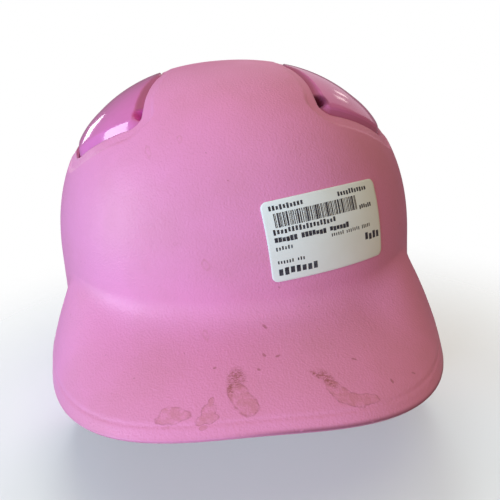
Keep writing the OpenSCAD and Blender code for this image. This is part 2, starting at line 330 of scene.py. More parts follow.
def sewn(front, back, faces):
    """A closed body from an outer sheet and an inner one with the same faces."""
    n = len(front)
    edges = {(f[k], f[(k + 1) % len(f)]) for f in faces for k in range(len(f))}
    rims = [[b, a, a + n, b + n] for a, b in edges if (b, a) not in edges]
    return np.vstack([front, back]), faces + [[k + n for k in f[::-1]] for f in faces] + sorted(rims)


def round_edges(piece, width, segments=2, angle=45):
    modify(piece, "BEVEL", width=width * MM, segments=segments, limit_method="ANGLE",
           angle_limit=math.radians(angle))
    piece.data.shade_smooth()


def mirrored(points, faces):
    return points * [-1, 1, 1], [f[::-1] for f in faces]


# ---- materials ----

def dimmed(tint, share):
    return tuple(c * share for c in tint)


class Nodes:
    """Short calls for building a node tree."""

    def __init__(self, name):
        self.material = bpy.data.materials.new(name)
        self.material.use_nodes = True
        self.tree = self.material.node_tree
        self.shader = self.tree.nodes["Principled BSDF"]

    def feed(self, node, inputs):
        """Links each input, given by number or name, to a socket, or sets its value."""
        for key, value in inputs.items():
            socket = node.inputs[key.replace("_", " ") if isinstance(key, str) else key]
            if isinstance(value, bpy.types.NodeSocket):
                self.tree.links.new(value, socket)
            else:
                socket.default_value = value
        return node

    def add(self, kind, **inputs):
        return self.feed(self.tree.nodes.new(kind), inputs)

    def math(self, operation, a, b, clamp=False):
        node = self.add("ShaderNodeMath")
        node.operation = operation
        node.use_clamp = clamp
        return self.feed(node, {0: a, 1: b}).outputs[0]

    def vector(self, operation, *values):
        node = self.add("ShaderNodeVectorMath")
        node.operation = operation
        outputs = self.feed(node, dict(enumerate(values))).outputs
        return outputs["Value" if operation == "LENGTH" else "Vector"]

    def times(self, *values):
        product = values[0]
        for value in values[1:]:
            product = self.math("MULTIPLY", product, value)
        return product

    def scaled(self, value, factor, offset):
        return self.math("ADD", self.times(value, factor), offset)

    def place(self):
        return self.add("ShaderNodeTexCoord").outputs["Object"]

    def noise(self, scale, detail=2.0, rough=0.5, vector=None):
        return self.add("ShaderNodeTexNoise", Vector=vector or self.place(), Scale=scale,
                        Detail=detail, Roughness=rough).outputs["Fac"]

    def ramp(self, value, low, high):
        """0 below low, 1 above high."""
        node = self.add("ShaderNodeMapRange", Value=value, From_Min=low, From_Max=high)
        node.interpolation_type = "SMOOTHSTEP"
        return node.outputs[0]

    def fade(self, value, low, high):
        """1 below low, 0 above high."""
        return self.math("SUBTRACT", 1.0, self.ramp(value, low, high))

    def mix(self, factor, a, b):
        node = self.add("ShaderNodeMix")
        node.data_type = "RGBA"
        a, b = ((*tint, 1) if isinstance(tint, tuple) else tint for tint in (a, b))
        return self.feed(node, {0: factor, 6: a, 7: b}).outputs[2]

    def value(self, name):
        node = self.add("ShaderNodeAttribute")
        node.attribute_name = name
        return node.outputs["Fac"]

    def bump(self, height, distance, strength):
        return self.add("ShaderNodeBump", Height=height, Distance=distance, Strength=strength).outputs[0]

    def finish(self, colour, rough, **inputs):
        """Feeds the shader and returns the material."""
        self.feed(self.shader, {"Base Color": colour, "Roughness": rough, **inputs})
        return self.material


FLOOR_PALE, FLOOR_FADE = (0.93, 0.93, 0.93), (0.12, 0.30)
PINK = (0.80, 0.262, 0.438)
PINK_DUSTY = (0.72, 0.243, 0.362)
STAIN_FILL, STAIN_EDGE, GRIME_AND_GAP_SHADE = (0.56, 0.18, 0.19), (0.34, 0.09, 0.08), (0.17, 0.04, 0.06)
RAGGED = 0.0013  # how far a stain's edge strays, in metres
# Dried spills on the bill, each a group of ellipses: middle x and y, two half sizes and a turn,
# in millimetres and degrees. BRUSHED holds where they are rubbed, and SPECKS small loose ones.
SPILLS = [
    [(-36.4, -124.9, 7.6, 2.9, -6), (-38.1, -122.3, 4.6, 2.5, 0), (-39.8, -128.6, 1.7, 0.9, 0)],
    [(-22.3, -128.6, 5.2, 2.1, 6), (-21.5, -125.4, 3.0, 3.6, -20), (-20.2, -121.4, 1.3, 2.6, -25),
     (-24.0, -132.0, 1.7, 0.7, 0)],
    [(-8.5, -118.2, 4.3, 5.0, 12), (-7.0, -122.0, 4.6, 5.2, 30), (-4.7, -125.5, 4.6, 4.6, 30)],
    [(33.0, -117.8, 3.2, 3.9, 35), (36.1, -121.6, 4.0, 4.2, 45), (41.1, -123.3, 5.2, 3.2, 4),
     (46.9, -121.9, 5.4, 2.4, 10)],
]
BRUSHED = [[(-8.1, -110.5, 4.9, 6.2, 0), (-11.6, -115.8, 1.7, 5.4, 0)],
           [(31.1, -113.5, 3.2, 7.0, 34), (27.2, -111.4, 1.4, 5.0, 50)]]
SPECKS = [(7.3, -83.2, 0.8, 1.7, 40), (10.9, -100.1, 1.3, 0.8, 30), (5.0, -98.8, 0.8, 1.3, 20),
          (1.7, -107.4, 0.9, 0.6, 0), (-17.9, -103.8, 1.0, 0.7, 45), (60.6, -110.2, 0.7, 1.2, 30),
          (73.0, -100.9, 1.0, 0.7, 0), (45.3, -100.9, 0.8, 1.1, 60)]
# Faint rings on the front of the dome: middle x and z, two half sizes and a turn
RINGS = [(-17.9, 115.7, 1.6, 2.6, 20), (-41.4, 164.7, 1.2, 2.4, 10), (-25.6, 170.1, 1.2, 1.4, 0),
         (-31.5, 125.6, 0.8, 0.7, 0), (-20.4, 85.1, 1.2, 1.3, 30)]


def spill_distance(n, position, group, middle=0.0, reach=1000.0):
    """1 at the edge of a group of ellipses and less inside. Their third axis, in metres, has its
    own middle and reach, and by default it runs through everything."""
    nearest = None
    for x, y, half_x, half_y, turn in group:
        place = n.add("ShaderNodeMapping", Vector=position, Location=(x * MM, y * MM, middle),
                      Rotation=(0, 0, math.radians(turn)), Scale=(half_x * MM, half_y * MM, reach))
        place.vector_type = "TEXTURE"
        distance = n.vector("LENGTH", place.outputs[0])
        nearest = n.math("MINIMUM", nearest, distance) if nearest else distance
    return nearest


def spills(n, position, outside):
    """How much of a stain's fill and of its darker edge shows."""
    fill, edge = 0.0, 0.0
    for group in SPILLS:
        d = spill_distance(n, position, group)
        fill = n.math("MAXIMUM", fill, n.fade(d, 0.86, 1.02))
        edge = n.math("MAXIMUM", edge, n.times(n.ramp(d, 0.84, 0.98), n.fade(d, 1.0, 1.13)))
    return n.times(fill, outside), n.times(edge, outside)


def shell_material():
    n = Nodes("shell_pink_grained")
    place, outside = n.place(), n.value("outside")
    grain = n.add("ShaderNodeTexVoronoi", Vector=place, Scale=1050.0, Randomness=1.0)
    grain.feature = "SMOOTH_F1"
    grain.inputs["Smoothness"].default_value = 0.6
    pebble = n.noise(760.0, 3.0, 0.6)
    height = n.scaled(grain.outputs["Distance"], 0.7, pebble)
    cloud = n.noise(14.0, 4.0, 0.6)
    fleck = n.ramp(n.noise(330.0, 2.0, 0.5), 0.70, 0.76)
    dirt = n.times(fleck, n.ramp(n.noise(60.0, 2.0, 0.5), 0.54, 0.68))

    wobble = n.add("ShaderNodeTexNoise", Vector=place, Scale=260.0, Detail=4.0).outputs["Color"]
    back = n.vector("SUBTRACT", place, (RAGGED, RAGGED, 0))
    ragged = n.vector("MULTIPLY_ADD", wobble, (2 * RAGGED, 2 * RAGGED, 0), back)
    fill, edge = spills(n, ragged, outside)
    streaks = n.add("ShaderNodeMapping", Vector=place, Scale=(0.5, 1.0, 1.0), Rotation=(0.0, 0.0, 0.15))
    brush = n.ramp(n.noise(1500.0, 3.0, 0.7, streaks.outputs[0]), 0.38, 0.60)
    brushed = 0.0
    for group in BRUSHED:
        brushed = n.math("MAXIMUM", brushed, n.fade(spill_distance(n, ragged, group), 0.35, 1.15))
    specks = n.fade(spill_distance(n, ragged, SPECKS), 0.5, 1.2)
    upright = n.add("ShaderNodeMapping", Vector=ragged, Rotation=(-math.pi / 2, 0.0, 0.0)).outputs[0]
    d = spill_distance(n, upright, RINGS, 0.06, 0.06)
    ring = n.times(n.ramp(d, 0.6, 0.95), n.fade(d, 1.0, 1.4))
    patchy = n.ramp(n.noise(260.0, 3.0, 0.7), 0.30, 0.62)
    # One dark tint for real scuffs on the rim and for the painted shadow line along the vents' front
    # edges.
    wear_and_gap_shade = n.math("MULTIPLY", n.value("scuff_and_gap_shade"), n.ramp(n.noise(120.0, 4.0, 0.7), 0.28, 0.42), True)

    colour = n.mix(n.ramp(cloud, 0.35, 0.75), PINK, PINK_DUSTY)
    for amount, tint in (
            (n.times(dirt, 0.5), STAIN_EDGE),
            (n.times(specks, outside, 0.55), STAIN_EDGE),
            (n.times(ring, outside, 0.28), STAIN_FILL),
            (n.times(fill, patchy, 0.50), STAIN_FILL),
            (n.times(edge, n.scaled(patchy, 0.38, 0.10)), STAIN_EDGE),
            (n.times(brushed, brush, outside, 0.85), STAIN_EDGE),
            (wear_and_gap_shade, GRIME_AND_GAP_SHADE)):
        colour = n.mix(amount, colour, tint)
    rough = n.scaled(cloud, 0.12, 0.36)
    return n.finish(colour, n.math("ADD", rough, n.times(fill, 0.1)),
                    Normal=n.bump(height, 0.00017, 0.9), Specular_IOR_Level=0.4)


def gloss_material():
    n = Nodes("panel_pink_gloss")
    haze = n.noise(70.0, 4.0, 0.6)
    scratch = n.ramp(n.noise(400.0, 5.0, 0.7), 0.62, 0.72)
    colour = n.mix(n.ramp(haze, 0.3, 0.8), (0.74, 0.18, 0.41), (0.69, 0.17, 0.37))
    # Painted shade, not colours of the panel: the first tint darkens the wall beside the ridge and the
    # wearer's left front wall, the second paints the wearer's right dimple a deeper saturated pink for
    # the shade in it, and the third paints the wearer's left dimple near black.
    for name, share, tint in (("shaded", 0.6, (0.38, 0.09, 0.13)), ("sunk", 0.92, (0.98, 0.12, 0.60)),
                              ("recess_shade", 0.94, (0.12, 0.008, 0.03))):
        colour = n.mix(n.times(n.value(name), share), colour, tint)
    return n.finish(colour, n.scaled(scratch, 0.10, 0.10), Specular_IOR_Level=0.5, Coat_Weight=0.35,
                    Coat_Roughness=0.04, Normal=n.bump(n.noise(30.0, 1.0, 0.4), 0.0012, 0.35))


def paper_material():
    n = Nodes("label_paper")
    fibre = n.noise(900.0, 3.0, 0.6)
    colour = n.mix(n.ramp(n.noise(35.0, 3.0, 0.5), 0.3, 0.75), (0.86, 0.84, 0.76), (0.80, 0.77, 0.67))
    return n.finish(colour, n.scaled(fibre, 0.2, 0.35), Normal=n.bump(fibre, 0.00003, 0.4),
                    Specular_IOR_Level=0.4)


def ink_material():
    n = Nodes("label_ink")
    fade = n.noise(500.0, 3.0, 0.6)
    colour = n.mix(n.ramp(fade, 0.35, 0.8), (0.02, 0.02, 0.025), (0.10, 0.10, 0.11))
    return n.finish(colour, n.scaled(fade, 0.2, 0.4))


def foam_material(name, tint):
    n = Nodes(name)
    pores = n.add("ShaderNodeTexVoronoi", Vector=n.place(), Scale=1400.0).outputs["Distance"]
    tone = n.noise(40.0, 4.0, 0.6)
    colour = n.mix(n.ramp(tone, 0.3, 0.75), tint, dimmed(tint, 0.7))
    height = n.scaled(tone, 0.6, pores)
    return n.finish(colour, n.scaled(tone, 0.15, 0.75), Normal=n.bump(height, 0.0002, 0.6))


def knit_material(name, tint):
    n = Nodes(name)
    weave = n.add("ShaderNodeTexVoronoi", Vector=n.place(), Scale=900.0).outputs["Distance"]
    fuzz = n.noise(1500.0, 2.0, 0.6)
    tone = n.noise(30.0, 4.0, 0.6)
    worn = n.ramp(n.scaled(weave, 0.7, n.times(tone, 0.5)), 0.3, 0.9)
    colour = n.mix(worn, tint, dimmed(tint, 1.6))
    return n.finish(colour, n.scaled(tone, 0.1, 0.85), Sheen_Weight=0.4, Sheen_Roughness=0.5,
                    Normal=n.bump(n.math("ADD", weave, fuzz), 0.0003, 0.8))


def thread_material(name, tint):
    n = Nodes(name)
    twist = n.add("ShaderNodeTexWave", Vector=n.place(), Scale=900.0, Distortion=1.0).outputs["Fac"]
    colour = n.mix(twist, tint, dimmed(tint, 0.6))
    return n.finish(colour, n.scaled(twist, 0.1, 0.6), Normal=n.bump(twist, 0.0001, 0.6))


def zinc_material():
    n = Nodes("zinc_plate")
    patch = n.noise(180.0, 4.0, 0.6)
    colour = n.mix(n.ramp(patch, 0.3, 0.75), (0.62, 0.62, 0.64), (0.45, 0.44, 0.45))
    return n.finish(colour, n.scaled(patch, 0.25, 0.2), Metallic=1.0,
                    Normal=n.bump(n.noise(900.0, 3.0, 0.6), 0.00004, 0.5))


def floor_material():
    """Pale near the helmet, fading into the backdrop, and clear from below."""
    n = Nodes("floor_pale")
    colour = n.mix(n.noise(3.0, 3.0, 0.5), FLOOR_PALE, dimmed(FLOOR_PALE, 0.97))
    near = n.fade(n.vector("LENGTH", n.place()), *FLOOR_FADE)
    above = n.math("SUBTRACT", 1.0, n.add("ShaderNodeNewGeometry").outputs["Backfacing"])
    return n.finish(colour, 0.9, Specular_IOR_Level=0.1, Alpha=n.times(near, 0.75, above))


# ---- camera, lights and floor ----

def make_camera():
    """At the photograph's viewing angle: azimuth, elevation and roll about the dome's centre."""
    back, right = (Vector(axis) for axis in view_axes((-2.2, 19.0))[:2])
    up = back.cross(right)
    roll = math.radians(-3.75)
    distance, focal_px = 455.0, 763.0
    x_axis = math.cos(roll) * right + math.sin(roll) * up
    y_axis = back.cross(x_axis)
    data = bpy.data.cameras.new("camera")
    data.sensor_width = 36
    data.lens = focal_px / IMAGE_PX * data.sensor_width
    data.shift_x, data.shift_y = 16 / IMAGE_PX, -20.4 / IMAGE_PX
    data.clip_start = 0.01
    camera = add_object("camera", data)
    rows = [(x_axis[k], y_axis[k], back[k], (CENTRE[k] + back[k] * distance) * MM) for k in range(3)]
    camera.matrix_world = Matrix([*rows, (0, 0, 0, 1)])
    scene.camera = camera


def area_light(name, azimuth, elevation, power, colour, size=0.9, mirror=False, distance=1.7):
    """A light that looks at the helmet from an azimuth and elevation in degrees: a soft fill that
    gloss does not show, or a window that only gloss shows."""
    data = bpy.data.lights.new(name, "AREA")
    data.shape = "RECTANGLE"
    data.size, data.size_y = size if isinstance(size, tuple) else (size, size)
    data.energy = power
    data.color = colour
    light = add_object(name, data)
    light.visible_glossy = mirror
    light.visible_diffuse = not mirror
    away = Vector(view_axes((azimuth, elevation))[0])
    light.location = away * distance + Vector((0, 0, 0.1))
    light.rotation_euler = away.to_track_quat("Z", "Y").to_euler()


def make_stage():
    floor = bpy.data.meshes.new("floor")
    far = 60.0
    corners = [(-far, -far, 0), (far, -far, 0), (far, far, 0), (-far, far, 0)]
    floor.from_pydata(corners, [], [(0, 1, 2, 3)])
    floor.materials.append(floor_material())
    ground = add_object("floor", floor)
    ground.location.z = -0.0002
    window, lamp, room = (0.71, 1.04, 1.50), (1.25, 0.91, 0.67), (1.12, 1.07, 0.78)
    pale, peach = (0.92, 0.92, 1.0), (1.0, 0.88, 0.84)
    for light in (
            ("window_near", -45, 8, 25.5, window),
            ("window_far", -80, 8, 3.7, window),
            ("window_high", -90, 65, 1.4, window),
            ("lamp_front", 15, 8, 2.2, lamp),
            ("ceiling_front", 20, 65, 5.0, room),
            ("ceiling_back", 180, 65, 5.9, room),
            ("room_back", 180, 35, 8, (0.7, 0.88, 1.26)),
            ("shine_low", -77, 12, 14.0, (0.80, 0.84, 1.0), (0.5, 1.1), True),
            ("shine_back", -150, 9, 0.7, pale, (0.34, 0.17), True),
            ("shine_above", 158, 20, 1.9, (1.0, 0.8, 0.92), (1.3, 1.1), True, 1.9),
            ("streak", 146, 20, 0.06, peach, (0.08, 0.16), True),
            ("streak_low", 152, 14, 0.04, peach, (0.06, 0.14), True)):
        area_light(*light)
    world = bpy.data.worlds.new("studio")
    scene.world = world
    world.use_nodes = True
    tree = world.node_tree
    path = tree.nodes.new("ShaderNodeLightPath")
    shown = None
    backdrops = ((None, (0.177, 0.152, 0.108)), ("Is Glossy Ray", (0.27, 0.16, 0.20)),
                 ("Is Camera Ray", (1, 1, 1)))
    for ray, colour in backdrops:
        back = tree.nodes.new("ShaderNodeBackground")
        back.inputs["Color"].default_value = (*colour, 1)
        if ray:
            choose = tree.nodes.new("ShaderNodeMixShader")
            tree.links.new(path.outputs[ray], choose.inputs["Fac"])
            tree.links.new(shown, choose.inputs[1])
            tree.links.new(back.outputs[0], choose.inputs[2])
            back = choose
        shown = back.outputs[0]
    tree.links.new(shown, tree.nodes["World Output"].inputs["Surface"])
    scene.view_settings.view_transform = "Standard"


# ---- shell ----

SHOULDER_FRONT, SHOULDER_SIDE, SHOULDER_DROP, SHOULDER_STEP = 10.5, 6.5, 1.7, 2.6
RIM_BAND, RIM_STEP, RIM_CREASE = 6.5, 1.3, 0.4
VENT_FRONT = [0.6, 0.8]  # across a vent plane, away from its front edge


def shell_relief(a, u, points):
    """How far the outer face lies below the plain surface, and the distance to the rim."""
    d = vent_distance(points)
    flat = on_plane(VENT_AXIS, points)
    forward = ease(-flat @ VENT_FRONT, 2, 22) * (1 - 0.8 * ease(flat[..., 0], -30, -6))
    width = SHOULDER_SIDE + (SHOULDER_FRONT - SHOULDER_SIDE) * forward
    drop = SHOULDER_DROP * (0.4 + 0.6 * forward)
    sunk = drop * (0.6 * np.clip(1 - d / width, 0, 1) + 0.4 * ease(width - d, 0, SHOULDER_STEP))
    rim = norm(points - outer(a, np.full_like(u, 2.0)))
    at_bill = (1 - ease(side_of(a), 56, 70)) * (u > 1)
    sunk = sunk + at_bill * RIM_STEP * np.clip(1 - rim / RIM_BAND, 0, 1)
    return sunk + at_bill * RIM_CREASE * np.exp(-((rim - RIM_BAND) / 0.9) ** 2), rim


def build_shell(material):
    """Returns the inner face too, for whatever has to stay clear of it."""
    front = np.arange(-72, 72, 0.55)
    rear = np.linspace(72, 288, 310, endpoint=False)
    azimuths = np.concatenate([front, rear])
    skirt = [np.linspace(1, 1.8, 60)[1:], np.linspace(1.8, 2, 32)[1:]]
    heights = np.concatenate([np.linspace(0.012, 1, 140), *skirt])
    rows, cols = len(heights), len(azimuths)
    params = mesh_points(heights, azimuths)[:, ::-1]

    def place(p):
        return outer(p[:, 1], p[:, 0])

    holes = [vent_distance, round_hole(EAR_A, EAR_U, EAR_R),
             round_hole(*NUT_AT, NUT_HOLE_R), rear_slot]

    def distance(points):
        return np.min([h(points) for h in holes], axis=0)

    params, faces = cut_grid(params, place, distance, grid_faces(rows, cols, True))
    faces += fan(len(params), cols)
    u, a = params.T
    plain, n = outer(a, u), normal(a, u)
    sunk, rim = shell_relief(a, u, plain)
    top = outer(0.0, 0.0)
    face = np.vstack([plain - sunk[:, None] * n, top])
    back = np.vstack([plain - WALL * n, top - [0, 0, WALL]])
    # Painted shadow: a thin dark line on the shell's edge at the front of each vent, where the panel
    # sinks under it.
    lip = 0.5 * np.exp(-(vent_distance(plain) / 0.4) ** 2)
    lip = lip * ease(-on_plane(VENT_AXIS, plain) @ VENT_FRONT, 0, 12)
    # Real scuffs along the bill's rim, more on the wearer's left; the same mask also carries the painted
    # shadow line.
    worn = (1 - ease(side_of(a), 60, 75)) * (0.15 + 0.85 * ease(plain[:, 0], -25, 25))
    scuff_and_gap_shade = np.maximum(0.8 * np.exp(-(rim / 1.0) ** 2) * worn, lip)
    face, kept, used = drop_loose(face, faces)
    back = back[used]
    points, closed = sewn(face, back, kept)
    piece = mesh_piece("shell", points, closed, material)
    none = np.zeros(len(face))
    add_point_value(piece, "outside", np.append(none + 1, none))
    add_point_value(piece, "scuff_and_gap_shade", np.append(np.append(scuff_and_gap_shade, 0)[used], none))
    round_edges(piece, 0.55, 3)
    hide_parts("outer_shell")
    return BVHTree.FromPolygons(back.tolist(), [f[::-1] for f in kept])


def keep_clear(points, wall, gap):
    """Moves points in from the shell's inner face until each is at least the gap from it."""
    moved = points.copy()
    for k, p in enumerate(points):
        near, n, _, _ = wall.find_nearest(p)
        if (Vector(p) - near).dot(n) < gap:
            moved[k] = near + n * gap
    return moved


# ---- vent panels ----

FLANGE_W, WALL_RUN = 6.0, 5.5
DIMPLE, DIMPLE_R, DIMPLE_DEPTH = np.array([-47.6, 17.0]), 5.0, 5.5
VENT_HOLE, VENT_HOLE_R = np.array([-47.4, 15.6]), 2.4


def in_dimple(p):
    """1 at the dimple's lip and less inside."""
    return norm(p - DIMPLE) / DIMPLE_R


def soft_step(x, reach, blur):
    """1 below a reach and 0 above it."""
    return 1 / (1 + np.exp((x - reach) / blur))


def dimple_depth(p):
    return DIMPLE_DEPTH * soft_step(in_dimple(p), 1, 0.06)


def along_ridge(p):
    """1 beside the top of the shell, where the panel's wall is short."""
    return ease(p[..., 1] + 0.3 * p[..., 0], 20, 36)


def panel_depth(p):
    """Depth of a panel's face: a flange under the shell, a sloped wall and a crowned top."""
    inside = -outside_hull(p)
    low, high = WALL + SEAT_GAP, 0.0
    run = WALL_RUN - 3.4 * along_ridge(p)
    slope = low - (low - high) * inside / run - 1.8 * along_ridge(p) * ease(inside, 0, 0.8)
    bulge = 0.15 + 0.35 * ease(-p[..., 1], 8, 20)
    top = high - bulge * (1 - np.exp(-np.maximum(inside - run, 0) / 4))
    crown = 0.14 * np.log(np.exp(np.clip(slope / 0.14, -60, 60)) + np.exp(top / 0.14))
    depth = low - 0.3 * np.log(1 + np.exp(np.clip((low - crown) / 0.3, -30, 30)))
    return np.where(inside < 0, low, depth) + dimple_depth(p)


def panel_tints(p):
    """Masks for painted shade: where a panel is in the shade of the ridge, and two measures of how deep
    in its dimple.
    """
    inside = -outside_hull(p)
    ridge = ease(p[..., 1] + 0.25 * p[..., 0], -2, 6) * (1 - ease(p[..., 0], 30, 50))
    shaded = ridge * (1 - ease(inside, WALL_RUN - 1.5, WALL_RUN + 0.5))
    return shaded, soft_step(in_dimple(p), 1.12, 0.05), soft_step(in_dimple(p), 1.4, 0.12)


def build_panel(side, material):
    toward = 164
    turns = np.concatenate([np.arange(-16, 16, 0.7), np.arange(16, 344, 2)]) + toward
    edge = vent_edge(turns)
    reach = np.concatenate([np.linspace(0.02, 0.5, 22), np.linspace(0.5, 1.0, 84)[1:]])
    flange = [edge[None] + w for w in (1.5, 3.5, FLANGE_W - 0.5)]
    radii = np.vstack([reach[:, None] * edge[None], *flange])
    s, c = sin_cos(turns)
    params = np.stack([radii * c, radii * s], -1).reshape(-1, 2)

    def place(p):
        return dome_at(aim(VENT_AXIS, p), panel_depth(p))

    def hole(points):
        p = on_plane(VENT_AXIS, points)
        return norm(p - VENT_HOLE) - VENT_HOLE_R

    params, faces = cut_grid(params, place, hole, grid_faces(len(radii), len(turns), True))
    faces += fan(len(params), len(turns))
    params = np.vstack([params, [[0, 0]]])
    face, kept, used = drop_loose(place(params), faces)
    params = params[used]
    back = dome_at(aim(VENT_AXIS, params), panel_depth(params) + PANEL_T)
    points, closed = sewn(face, back, kept)
    if side == "right":
        points, closed = mirrored(points, closed)
    piece = mesh_piece(side + "_panel", points, closed, material)
    shaded, sunk, deep = panel_tints(params)
    # Painted shade on the wearer's left panel, which the light from the left does not reach: its front
    # wall and its dimple get darker tints, and its dimple gets no pink one.
    shadowed_side = side == "left"
    shaded = np.maximum(shaded, shadowed_side * 0.45 * (panel_depth(params) > 0.9))
    for name, values in (("shaded", shaded), ("sunk", sunk * (not shadowed_side)), ("recess_shade", deep * shadowed_side)):
        add_point_value(piece, name, np.tile(values, 2))
    round_edges(piece, 0.4, 2, 55)
    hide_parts(side + "_vent_panel")


# ---- price label, with generic bars and dashes only ----

def label_skin(p, lift):
    """Label millimetres from its middle, x to the wearer's left and y up, to the dome."""
    turn = np.maximum(np.linalg.norm(p, axis=-1, keepdims=True) / 100, 1e-9)
    return dome_at(aim(LABEL_VIEW, p * np.tan(turn) / turn), -lift)


def round_corners(p, half, radius):
    """Pulls the corners of a rectangle's grid in to a radius."""
    inner = np.array(half) - radius
    over = np.maximum(np.abs(p) - inner, 0)
    far = norm(over)
    pull = np.where(far > 0, over.max(-1) / np.maximum(far, 1e-9), 1)
    return np.sign(p) * (np.minimum(np.abs(p), inner) + over * pull[..., None])


def label_marks():
    """Printed marks as (x, y, width, height) from the label's top left corner."""
    rng = np.random.default_rng(11)
    marks = []

    def bars(x, y, length, height):
        end = x + length
        while x < end:
            w = rng.choice([0.3, 0.45, 0.6, 0.9])
            marks.append((x, y, w, height))
            x += w + rng.choice([0.25, 0.4, 0.55])

    def dashes(x, y, height, count, heavy=1.0, spaces=()):
        for k in range(count):
            if k not in spaces:
                low = rng.choice([0, 0.12, 0.22]) * height
                marks.append((x, y + low, 0.42 * height * heavy, (height - low) * rng.uniform(0.8, 1)))
            x += 0.68 * height
    dashes(3.5, 2.3, 2.5, 10)
    dashes(38.5, 2.3, 2.5, 11)
    bars(5.0, 6.0, 43, 6.6)
    dashes(3.5, 13.2, 2.6, 18)
    dashes(50.0, 10.8, 2.1, 6)
    dashes(3.5, 17.0, 2.7, 21, 1.35, (6, 14))
    dashes(3.5, 21.2, 2.1, 6, 0.8)
    dashes(31.5, 20.4, 1.8, 20, 0.7, (6, 14))
    dashes(3.5, 27.6, 2.0, 10, 0.8, (6,))
    dashes(3.5, 31.0, 4.2, 7, 1.1)
    dashes(51.5, 24.6, 4.0, 4, 1.1)
    return marks


def build_label(paper, ink):
    nx, ny = 66, 40
    xs, ys = np.linspace(-LABEL_W / 2, LABEL_W / 2, nx), np.linspace(LABEL_H / 2, -LABEL_H / 2, ny)
    p = round_corners(mesh_points(ys, xs), (LABEL_W / 2, LABEL_H / 2), 3.0)
    points, faces = sewn(label_skin(p, 0.5), label_skin(p, 0.15), grid_faces(ny, nx, False))
    sheet = mesh_piece("label_sheet", points, faces, paper)
    round_edges(sheet, 0.06, 1)
    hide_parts("price_label")
    parts = []
    for x, y, w, h in label_marks():
        across, down = int(w / 1.2) + 2, int(h / 1.2) + 2
        xs = np.linspace(x, x + w, across) - LABEL_W / 2
        ys = LABEL_H / 2 - np.linspace(y, y + h, down)
        spots = mesh_points(ys, xs)
        faces = grid_faces(down, across, False)
        parts.append(sewn(label_skin(spots, 0.55), label_skin(spots, 0.5), faces))
    marks = mesh_piece("label_print", *joined(parts), ink, smooth=False)


# ---- foam pads ----

def round_box(half, t):
    """Rounded rectangle traced as t goes from 0 to 360."""
    s, c = sin_cos(t)
    return np.stack([h * np.sign(v) * np.sqrt(np.abs(v)) for h, v in zip(half, (c, s))], -1)


def uneven(p, rng, size):
    """Low waves over a plane, about 1 high."""
    total = np.zeros(p.shape[:-1])
    for _ in range(6):
        total += np.sin(p @ rng.normal(0, 2.5 / size, 2) + rng.uniform(0, 6))
    return total / 3


def foam_pad(name, place, half, thickness, material, sizes=None, seed=0, dimples=()):
    """A moulded pad: place(p, depth) puts p, within the half sizes, at a depth under the gap."""
    sizes = sizes or half
    turns = np.arange(0, 360, 3.0) + 0.7
    reach = np.concatenate([np.linspace(0.03, 0.7, 18), np.linspace(0.7, 1, 26)[1:]])
    p = (reach[:, None, None] * round_box(half, turns)[None]).reshape(-1, 2)
    mm = p / half * sizes
    edge = np.repeat((1 - reach) * min(sizes), len(turns))
    rng = np.random.default_rng(seed)
    rounding = np.sqrt(1 - (1 - np.clip(edge / 4.5, 0, 1)) ** 2)
    high = thickness * (0.42 + 0.58 * rounding) - 1.0 * np.exp(-((edge - 7.5) / 1.1) ** 2)
    high = high + 0.3 * uneven(mm, rng, 14) * np.clip(edge / 4, 0, 1)
    for at in dimples:
        high = high - 3.0 * np.exp(-(norm(mm - at) / 2.6) ** 4)
    front = place(p, 0.7 * np.exp(-edge / 0.7))
    back = place(p, high)
    faces = grid_faces(len(reach), len(turns), True) + [list(range(len(turns)))]
    points, faces = sewn(front, back, faces)
    if name.startswith("right"):
        points, faces = mirrored(points, faces)
    piece = mesh_piece(name + "_foam", points, faces, material)
    round_edges(piece, 0.5, 2, 50)
    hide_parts(name + "_pad")


def on_dome(view, depth):
    return lambda p, more: dome_at(aim(view, p), depth + more)


def on_skirt(middle, depth):
    def place(p, more):
        q = np.array(middle) + p * [1, -1]
        return skin(q[:, 0], q[:, 1], depth + np.asarray(more)[:, None])
    return place


def build_foam(material):
    ring, deep = WALL + SEAT_GAP, WALL + PANEL_T + 3
    rows = [("brow", (0, 14), (48, 23), RING_T, ring),
            ("crown_front", (0, 57), (25, 16), CROWN_T, ring),
            ("crown_top", (0, 90), (25, 18), CROWN_T, ring),
            ("crown_rear", (180, 57), (25, 16), CROWN_T, ring),
            ("rear_centre", (180, 9), (36, 21), RING_T, ring)]
    for side in SIDES:
        rows += [(side + "_crown", (94, 54), (32, 20), CROWN_T, deep),
                 (side + "_temple", (56, 9), (35, 21), RING_T, ring),
                 (side + "_side", (97, 9), (28, 21), RING_T, ring),
                 (side + "_rear", (136, 9), (32, 21), RING_T, ring)]
    for seed, (name, view, half, thickness, depth) in enumerate(rows):
        dimples = [(x * half[0], y * half[1]) for x in (-0.42, 0, 0.42) for y in (-0.25, 0.25)]
        foam_pad(name, on_dome(view, depth), half, thickness, material, seed=seed, dimples=dimples)
    foam_pad("nape", on_skirt((180, 1.48), ring), (34, 0.3), RING_T, material, (62, 29), 40,
             [(x, y) for x in (-30, -10, 10, 30) for y in (-9, 9)])


# ---- fabric pads, swelled as cloth ----

def read_points(piece):
    flat = np.empty(len(piece.data.vertices) * 3)
    piece.data.vertices.foreach_get("co", flat)
    return flat.reshape(-1, 3) / MM


def write_points(piece, points):
    piece.data.vertices.foreach_set("co", (np.asarray(points) * MM).ravel())
    piece.data.update()


def remesh(piece, voxel):
    modify(piece, "REMESH", mode="VOXEL", voxel_size=voxel * MM)


